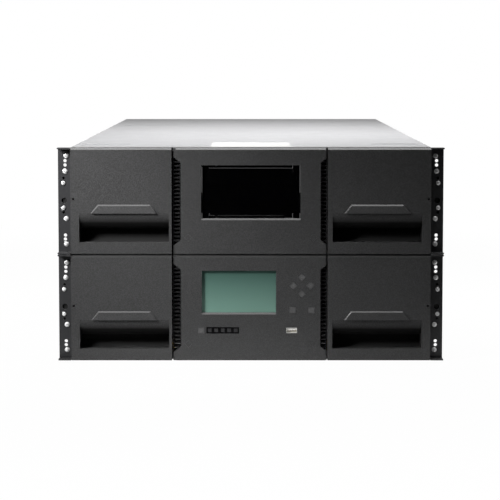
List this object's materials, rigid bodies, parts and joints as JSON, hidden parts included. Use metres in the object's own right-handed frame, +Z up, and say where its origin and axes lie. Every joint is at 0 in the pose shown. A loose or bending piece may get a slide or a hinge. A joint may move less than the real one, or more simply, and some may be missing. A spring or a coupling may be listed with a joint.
{
  "type": "rack-mounted data tape library",
  "caption": "Rack-mounted tape library of two stacked modules, each with two pull-out cartridge magazines, a centre bezel and rear drives, served by a climbing robot.",
  "frame": {"origin": "middle of the underside of the whole library's box", "axes": "+X to the right as seen from the front, +Y from the bezels towards the rear panels, +Z up"},
  "size_m": [0.48, 0.876, 0.2667],
  "materials": {
    "zinc_steel": "satin",
    "cover_steel": "satin",
    "ear_steel": "satin",
    "screw_steel": "polished",
    "bezel_plastic": "fine grain",
    "smoked_glass": "polished",
    "clip_metal": "satin",
    "screen": "satin",
    "lens_black": "polished",
    "port_metal": "polished",
    "board_green": "satin",
    "rack_metal": "satin",
    "rail_plastic": "smooth",
    "frame_plastic": "smooth",
    "cartridge_plastic": "fine grain",
    "button_plastic": "satin",
    "pinion_brass": "satin",
    "robot_plastic": "smooth",
    "unit_steel": "satin"
  },
  "bodies": {
    "chassis": {"side_walls": "zinc_steel", "bottom_cover": "zinc_steel", "upper_floor_pan": "zinc_steel", "top_cover": "cover_steel", "base_rear_panel": "zinc_steel", "upper_rear_panel": "zinc_steel", "base_rack_ears": "ear_steel", "upper_rack_ears": "ear_steel", "ear_screws": "screw_steel", "front_bulkheads": "zinc_steel", "base_centre_bezel": "bezel_plastic", "upper_centre_bezel": "bezel_plastic", "centre_louvres": "bezel_plastic", "window_pane": "smoked_glass", "window_retainers": "clip_metal", "lcd_module": "screen", "status_lens": "lens_black", "usb_port": "port_metal", "control_board": "board_green", "bezel_plugs": "bezel_plastic", "lift_racks": "rack_metal", "bay_rails": "rail_plastic", "drive_cages": "zinc_steel", "controller_cards": "unit_steel", "rear_blanks": "zinc_steel"},
    "base_left_magazine": {"base_left_bezel": "bezel_plastic", "base_left_frame": "frame_plastic", "base_left_shelves": "frame_plastic", "base_left_cartridges": "cartridge_plastic"},
    "base_right_magazine": {"base_right_bezel": "bezel_plastic", "base_right_frame": "frame_plastic", "base_right_shelves": "frame_plastic", "base_right_cartridges": "cartridge_plastic"},
    "upper_left_magazine": {"upper_left_bezel": "bezel_plastic", "upper_left_frame": "frame_plastic", "upper_left_shelves": "frame_plastic", "upper_left_cartridges": "cartridge_plastic"},
    "upper_right_magazine": {"upper_right_bezel": "bezel_plastic", "upper_right_frame": "frame_plastic", "upper_right_shelves": "frame_plastic", "upper_right_cartridges": "cartridge_plastic"},
    "up_key": {"up_button": "button_plastic"},
    "down_key": {"down_button": "button_plastic"},
    "left_key": {"left_button": "button_plastic"},
    "right_key": {"right_button": "button_plastic"},
    "back_key": {"back_button": "button_plastic"},
    "enter_key": {"enter_button": "button_plastic"},
    "power_key": {"power_button": "button_plastic"},
    "platform": {"lift_platform": "rack_metal", "guide_rods": "screw_steel"},
    "left_shaft": {"left_lift_shaft": "pinion_brass"},
    "right_shaft": {"right_lift_shaft": "pinion_brass"},
    "carriage": {"robot_carriage": "robot_plastic"},
    "turntable": {"picker": "robot_plastic"},
    "grip_slide": {"gripper": "robot_plastic"},
    "base_power_supply_1_unit": {"base_power_supply_1": "unit_steel"},
    "base_power_supply_2_unit": {"base_power_supply_2": "unit_steel"},
    "upper_power_supply_unit": {"upper_power_supply": "unit_steel"},
    "base_drive_unit": {"base_drive": "unit_steel"},
    "upper_drive_unit": {"upper_drive": "unit_steel"}
  },
  "joints": [
    {"name": "base_left_magazine_slide", "type": "slide", "parent": "chassis", "child": "base_left_magazine", "axis": [0, -1, 0], "range_m": [0, 0.45]},
    {"name": "base_right_magazine_slide", "type": "slide", "parent": "chassis", "child": "base_right_magazine", "axis": [0, -1, 0], "range_m": [0, 0.45]},
    {"name": "upper_left_magazine_slide", "type": "slide", "parent": "chassis", "child": "upper_left_magazine", "axis": [0, -1, 0], "range_m": [0, 0.45]},
    {"name": "upper_right_magazine_slide", "type": "slide", "parent": "chassis", "child": "upper_right_magazine", "axis": [0, -1, 0], "range_m": [0, 0.45]},
    {"name": "up_press", "type": "slide", "parent": "chassis", "child": "up_key", "axis": [0, 1, 0], "range_m": [0, 0.001], "stiffness_N_per_m": 400},
    {"name": "down_press", "type": "slide", "parent": "chassis", "child": "down_key", "axis": [0, 1, 0], "range_m": [0, 0.001], "stiffness_N_per_m": 400},
    {"name": "left_press", "type": "slide", "parent": "chassis", "child": "left_key", "axis": [0, 1, 0], "range_m": [0, 0.001], "stiffness_N_per_m": 400},
    {"name": "right_press", "type": "slide", "parent": "chassis", "child": "right_key", "axis": [0, 1, 0], "range_m": [0, 0.001], "stiffness_N_per_m": 400},
    {"name": "back_press", "type": "slide", "parent": "chassis", "child": "back_key", "axis": [0, 1, 0], "range_m": [0, 0.001], "stiffness_N_per_m": 400},
    {"name": "enter_press", "type": "slide", "parent": "chassis", "child": "enter_key", "axis": [0, 1, 0], "range_m": [0, 0.001], "stiffness_N_per_m": 400},
    {"name": "power_press", "type": "slide", "parent": "chassis", "child": "power_key", "axis": [0, 1, 0], "range_m": [0, 0.001], "stiffness_N_per_m": 400},
    {"name": "robot_lift", "type": "slide", "parent": "chassis", "child": "platform", "axis": [0, 0, 1], "range_m": [0, 0.2245]},
    {"name": "left_shaft_turn", "type": "hinge", "parent": "platform", "child": "left_shaft", "pos_m": [-0.0909, 0, 0.0133], "axis": [0, 1, 0], "range_deg": [-1416, 0]},
    {"name": "right_shaft_turn", "type": "hinge", "parent": "platform", "child": "right_shaft", "pos_m": [0.0909, 0, 0.0133], "axis": [0, 1, 0], "range_deg": [0, 1416]},
    {"name": "carriage_travel", "type": "slide", "parent": "platform", "child": "carriage", "axis": [0, 1, 0], "range_m": [-0.165, 0.165]},
    {"name": "picker_turn", "type": "hinge", "parent": "carriage", "child": "turntable", "pos_m": [0, -0.1658, 0.014], "axis": [0, 0, 1], "range_deg": [-90, 90]},
    {"name": "gripper_reach", "type": "slide", "parent": "turntable", "child": "grip_slide", "axis": [0, 1, 0], "range_m": [0, 0.075]},
    {"name": "base_power_supply_1_slide", "type": "slide", "parent": "chassis", "child": "base_power_supply_1_unit", "axis": [0, 1, 0], "range_m": [0, 0.22]},
    {"name": "base_power_supply_2_slide", "type": "slide", "parent": "chassis", "child": "base_power_supply_2_unit", "axis": [0, 1, 0], "range_m": [0, 0.22]},
    {"name": "upper_power_supply_slide", "type": "slide", "parent": "chassis", "child": "upper_power_supply_unit", "axis": [0, 1, 0], "range_m": [0, 0.22]},
    {"name": "base_drive_slide", "type": "slide", "parent": "chassis", "child": "base_drive_unit", "axis": [0, 1, 0], "range_m": [0, 0.33]},
    {"name": "upper_drive_slide", "type": "slide", "parent": "chassis", "child": "upper_drive_unit", "axis": [0, 1, 0], "range_m": [0, 0.33]}
  ],
  "couplings": [
    {"joint": "left_shaft_turn", "follows": "robot_lift", "rad_per_m": -109.94},
    {"joint": "right_shaft_turn", "follows": "robot_lift", "rad_per_m": 109.94}
  ]
}
